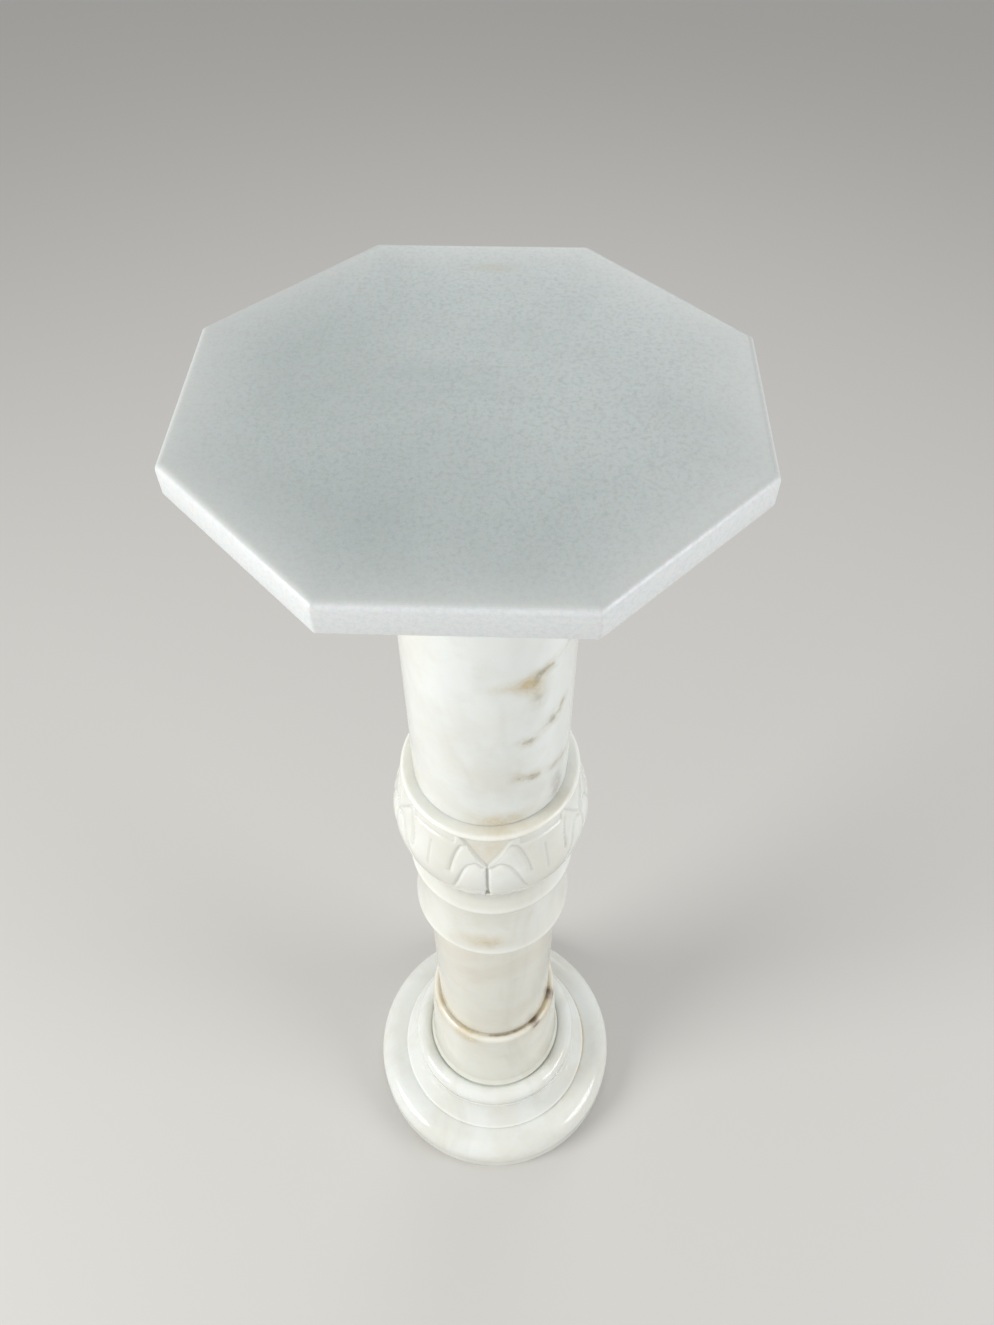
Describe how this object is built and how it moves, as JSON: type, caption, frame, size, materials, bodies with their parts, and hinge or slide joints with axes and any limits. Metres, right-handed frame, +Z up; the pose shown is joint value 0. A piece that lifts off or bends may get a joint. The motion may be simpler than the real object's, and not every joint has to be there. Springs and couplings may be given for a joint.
{
  "type": "marble pedestal column",
  "caption": "Free-standing turned marble column with a stepped round base, a leaf-carved collar and a flat octagonal top for a vase or bust.",
  "frame": {"origin": "on the axis of the turned stones, at floor level", "axes": "+Z up the column, -Y to the front edge of the octagonal top, +X to the right as seen from the front"},
  "size_m": [0.2836, 0.2716, 0.96],
  "materials": {
    "cream_marble": "polished, ivory with a few fine veins",
    "grey_marble": "satin, fine sugary grain",
    "plain_steel": "dull, lightly oxidised"
  },
  "bodies": {
    "root": {"base_plinth": "cream_marble", "base_drum": "cream_marble", "lower_shaft": "cream_marble", "flared_ring": "cream_marble", "carved_collar": "cream_marble", "upper_shaft": "cream_marble", "top_slab": "grey_marble", "tie_rod": "plain_steel", "foot_washer": "plain_steel", "foot_nut": "plain_steel", "head_washer": "plain_steel", "head_nut": "plain_steel"}
  },
  "joints": []
}
